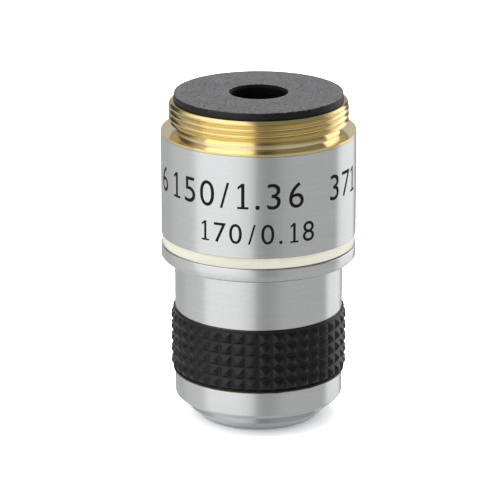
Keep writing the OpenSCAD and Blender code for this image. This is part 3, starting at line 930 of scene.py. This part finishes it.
class OBJECTIVE_OT_grip_ring(bpy.types.Operator):
    """Raise the studs of the knurled grip ring"""

    bl_idname = "objective.grip_ring"
    bl_label = "Knurled Grip"

    # Width of each inset of a stud and the share of the stud's height that it rises
    INSETS = (0.07 * MM, 0), (0.3 * MM, 0.66), (0.2 * MM, 0.34)

    def execute(self, context):
        sizes = context.scene.objective_sizes
        tip, low, top = extent("grip_ring")
        rim_h, rim, bore = 0.26 * MM, tip - 0.24 * MM, 8.92 * MM
        floor = tip - sizes.groove_depth
        first, last = low + rim_h, top - rim_h
        pitch = (last - first) / sizes.rows
        field = draw_out([(floor, first + row * pitch) for row in range(sizes.rows + 1)], sizes.columns)
        bpy.ops.mesh.select_all(action="SELECT")
        bpy.ops.mesh.normals_make_consistent(inside=False)
        bpy.ops.mesh.select_mode(type="FACE")
        for width, share in self.INSETS:
            bpy.ops.mesh.inset(thickness=width, depth=share * sizes.groove_depth, use_individual=True)
        bpy.ops.object.mode_set(mode="OBJECT")
        settle(field)
        shell = draw_out([
            (rim, first), (rim, low), (bore, low), (bore, top), (rim, top), (rim, last),
        ], 4 * sizes.columns)
        bpy.ops.object.mode_set(mode="OBJECT")
        settle(shell)
        pick(shell, field)
        bpy.ops.object.join()
        obj = bpy.context.object
        obj.name = "knurled_grip"
        bpy.ops.object.mode_set(mode="EDIT")
        near = 1e-6
        for height in (first, last):
            select_edges(obj, lambda at: abs(at.z - height) < near and at.xy.length > floor - 10 * near)
            self.keep_open_edges(obj)
            bpy.ops.mesh.bridge_edge_loops()
        bpy.ops.mesh.select_all(action="SELECT")
        bpy.ops.mesh.normals_make_consistent(inside=False)
        bpy.ops.object.mode_set(mode="OBJECT")
        break_edges(obj, 0.07 * MM, angle=10)
        finish_piece(obj, SLIDING, ["grip_ring"], finish("knurl_black"), smooth=40)
        return {"FINISHED"}

    def keep_open_edges(self, obj):
        """Of the selected edges, leaves only those with one face."""
        mesh = bmesh.from_edit_mesh(obj.data)
        for edge in mesh.edges:
            if edge.select and not edge.is_boundary:
                edge.select_set(False)
        bmesh.update_edit_mesh(obj.data)


class OBJECTIVE_OT_nose(bpy.types.Operator):
    """Turn the nose cap, the tip and the front lens"""

    bl_idname = "objective.nose"
    bl_label = "Nose"

    def execute(self, context):
        outer, low, top = extent("nose_cap")
        tip_r, seat, floor_z, bevel, gap = 8.05 * MM, 8.92 * MM, 3.2 * MM, 0.5 * MM, 0.02 * MM
        cap = turned("nose_cap_ring", [
            (tip_r + gap, low),
            (outer - bevel, low),
            (outer, low + 0.9 * bevel),
            (outer, top),
            (seat, top),
            (seat, floor_z),
            (tip_r + gap, floor_z),
        ], corner=0.11 * MM)
        finish_piece(cap, SLIDING, ["nose_cap"], finish("satin_nickel"))
        flange, _, stack = extent("front_cell")
        face, cone, cup, cup_z = 6.65 * MM, 1.25 * MM, 6 * MM, 1.4 * MM
        lens_r, lip, inset, recess, recess_z = 1.02 * MM, 0.85 * MM, 0.05 * MM, 1.9 * MM, 0.35 * MM
        cell = turned("tip_cell", [
            (lip, 0),
            (face, 0),
            (tip_r, cone),
            (tip_r, floor_z),
            (flange, floor_z),
            (flange, stack),
            (cup, stack),
            (cup, cup_z),
            (recess, cup_z),
            (lens_r, recess_z),
            (lens_r, inset),
            (lip, inset),
        ], corner=0.02 * MM)
        finish_piece(cell, SLIDING, ["front_cell"], finish("tip_nickel"))
        lens, low, _ = extent("front_lens")
        edge, steps = low + 0.3 * MM, 16
        turns = [math.pi / 2 * i / steps for i in range(steps)]
        dome = [(lens * math.cos(turn), edge + lens * math.sin(turn)) for turn in turns]
        glass = pole("front_lens_glass", [(0, low), (lens, low), *dome, (0, edge + lens)], segments=64)
        finish_piece(glass, SLIDING, ["front_lens"], finish("coated_glass"), smooth=40)
        return {"FINISHED"}


class OBJECTIVE_OT_optics(bpy.types.Operator):
    """Finish the cells, spacers, screws and lenses inside the barrel"""

    bl_idname = "objective.optics"
    bl_label = "Optics"

    INSIDE = {
        "cell_brass": ("meniscus_cell", "lower_cell", "upper_cell"),
        "blackened": ("front_spacer", "rear_spacer", "lock_ring", "centring_screws"),
        "coated_glass": ("meniscus_lens", "lower_flint", "lower_crown", "upper_flint", "upper_crown"),
    }

    def execute(self, context):
        for name, nodes in self.INSIDE.items():
            for node in nodes:
                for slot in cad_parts[node].material_slots:
                    slot.material = finish(name).material
        return {"FINISHED"}


# Stage

class OBJECTIVE_OT_stage(bpy.types.Operator):
    """Set up the floor, the lamps, the studio surroundings and the camera"""

    bl_idname = "objective.stage"
    bl_label = "Stage"

    # Pale cards round the object as (azimuth, half width, softness in degrees, brightness)
    CARDS = (
        (-42, 33, 8, 0.38), (-62, 26, 48, 0.38), (-136, 14, 30, 0.2), (65, 24, 34, 0.17), (130, 18, 9, 0.7))
    # Name, place, size and power of each lamp
    LAMPS = (
        ("left_softbox", (-0.42, -0.1, 0.45), 0.5, 1.3),
        ("right_softbox", (0.42, 0.0, 0.45), 0.5, 0.8),
        ("overhead_softbox", (0.0, 0.24, 0.55), 0.4, 3.4))

    def execute(self, context):
        self.camera(context)
        self.world(context)
        self.lamps()
        self.floor()
        context.scene.view_settings.view_transform = "Standard"
        return {"FINISHED"}

    def camera(self, context):
        tilt = math.radians(17.48)
        distance, aim, aside = 0.3493, 0.0193, -0.000976
        fresh()
        bpy.ops.object.camera_add(
            location=(aside, -distance * math.cos(tilt), aim + distance * math.sin(tilt)),
            rotation=(math.pi / 2 - tilt, 0, 0))
        camera = bpy.context.object
        camera.name = "photo_camera"
        camera.data.lens = 221.1
        camera.data.sensor_width = 36
        camera.data.clip_start = 0.01
        context.scene.camera = camera

    def world(self, context):
        """White to the camera, a soft even light, and a studio of pale cards for the metal to reflect."""
        world = bpy.data.worlds.new("studio")
        world.use_nodes = True
        context.scene.world = world
        made = Nodes(world.node_tree)
        background = made.tree.nodes["Background"]
        background.inputs["Color"].default_value = (1, 1, 1, 1)
        way = made.node("ShaderNodeTexCoord", {}, {}, output="Generated")
        across, ahead, up = made.split(way)
        turn = across.math("ARCTAN2", ahead * -1.0) * (180 / math.pi)
        level = 0.31
        for middle, half, soft, strength in self.CARDS:
            away = abs(turn - middle)
            level = (1 - made.step(away, half, half + soft)) * strength + level
        # Below the horizon, a pale table
        down, leftward = up * -1.0, across * -1.0
        near = made.step(down, 0.28, 0.38) * 0.35
        table = made.step(down, 0.4, 0.56)
        left = made.step(leftward, 0.0, 0.35)
        level = blend(table, blend(near, level, 0.55), left * 0.25 + 0.46)
        # Above it, a darker room with stronger cards, one behind, and a ceiling that is bright on the left
        sunny = made.step(leftward, 0.02, 0.2) * (1 - made.step(leftward, 0.5, 0.8) * 0.75)
        above = made.step(up, 0.4, 0.75)
        far = made.step(turn * -1.0, 88, 118)
        card = (level - 0.25) * (made.step(level, 0.5, 0.9) * 1.1 + 1) * (1 - far * 0.75)
        back = made.step(abs(turn), 156, 170) * (1 - above) * 0.5
        upper = blend(above, card, sunny * 1.1 + 0.22) + back
        level = blend(made.step(up, 0.05, 0.25), level, upper)
        even_light, white = 0.6, 1.0
        seen = blend(made.ray("Glossy"), even_light, level)
        clear = made.ray("Camera").math("MAXIMUM", made.ray("Transmission"))
        strength = blend(clear, seen, white)
        made.tree.links.new(strength.socket, background.inputs["Strength"])

    def lamps(self):
        middle = Vector((0, 0, 0.02))
        for name, place, size, energy in self.LAMPS:
            fresh()
            aim = middle - Vector(place)
            bpy.ops.object.light_add(
                type="AREA", location=place, rotation=aim.to_track_quat("-Z", "Y").to_euler())
            lamp = bpy.context.object
            lamp.name = name
            lamp.data.size = size
            lamp.data.energy = energy
            lamp.visible_glossy = False

    def floor(self):
        """A pale floor that is white to the camera and keeps the soft shadow."""
        fresh()
        bpy.ops.mesh.primitive_grid_add(
            x_subdivisions=8, y_subdivisions=8, size=4, location=(0, 0, -0.02 * MM))
        floor = settle(bpy.context.object)
        floor.name = "pale_floor"
        floor.visible_glossy = False
        material = bpy.data.materials.new("pale_floor")
        material.use_nodes = True
        made = Nodes(material.node_tree)
        tree = made.tree
        tree.nodes.remove(tree.nodes["Principled BSDF"])
        out = tree.nodes["Material Output"]
        place = made.node("ShaderNodeTexCoord", {}, {}, output="Object")
        grain = made.noise(place, 900.0, 3.0)
        camera = made.ray("Camera")
        pale = made.mix(grain, (0.72, 0.72, 0.72), (0.76, 0.76, 0.76))
        lifted = made.mix(grain, (1.7, 1.7, 1.7), (1.8, 1.8, 1.8))
        matt = made.node("ShaderNodeBsdfDiffuse", {}, {"Color": made.mix(camera, pale, lifted)})
        glow = made.node("ShaderNodeEmission", {}, {"Color": (1, 1, 1, 1), "Strength": camera * 0.01})
        both = made.node("ShaderNodeAddShader", {}, (matt, glow))
        tree.links.new(both.socket, out.inputs["Surface"])
        floor.data.materials.append(material)


class OBJECTIVE_PT_panel(bpy.types.Panel):
    """Buttons for every piece and for the stage"""

    bl_idname = "OBJECTIVE_PT_panel"
    bl_label = "Microscope Objective"
    bl_space_type = "VIEW_3D"
    bl_region_type = "UI"
    bl_category = "Objective"

    def draw(self, context):
        for settings in (context.scene.objective_sizes, context.scene.objective_finishes):
            box = self.layout.box()
            for key in settings.__annotations__:
                box.prop(settings, key)
        for operator in OPERATORS:
            self.layout.operator(operator.bl_idname)


OPERATORS = (
    OBJECTIVE_OT_stage, OBJECTIVE_OT_rear_stop, OBJECTIVE_OT_brass_mount, OBJECTIVE_OT_sleeve,
    OBJECTIVE_OT_band_and_collar, OBJECTIVE_OT_spring, OBJECTIVE_OT_small_steel, OBJECTIVE_OT_barrel,
    OBJECTIVE_OT_grip_ring, OBJECTIVE_OT_nose, OBJECTIVE_OT_optics)
CLASSES = (ObjectiveSizes, ObjectiveFinishes, *OPERATORS, OBJECTIVE_PT_panel)


def register():
    for item in CLASSES:
        bpy.utils.register_class(item)
    bpy.types.Scene.objective_sizes = PointerProperty(type=ObjectiveSizes)
    bpy.types.Scene.objective_finishes = PointerProperty(type=ObjectiveFinishes)


def unregister():
    del bpy.types.Scene.objective_finishes
    del bpy.types.Scene.objective_sizes
    for item in reversed(CLASSES):
        bpy.utils.unregister_class(item)


def main():
    register()
    bpy.ops.objective.stage()
    bpy.ops.objective.rear_stop()
    bpy.ops.objective.brass_mount()
    bpy.ops.objective.sleeve()
    bpy.ops.objective.band_and_collar()
    bpy.ops.objective.spring()
    bpy.ops.objective.small_steel()
    bpy.ops.objective.barrel()
    bpy.ops.objective.grip_ring()
    bpy.ops.objective.nose()
    bpy.ops.objective.optics()
    fresh()


if __name__ == "__main__":
    main()
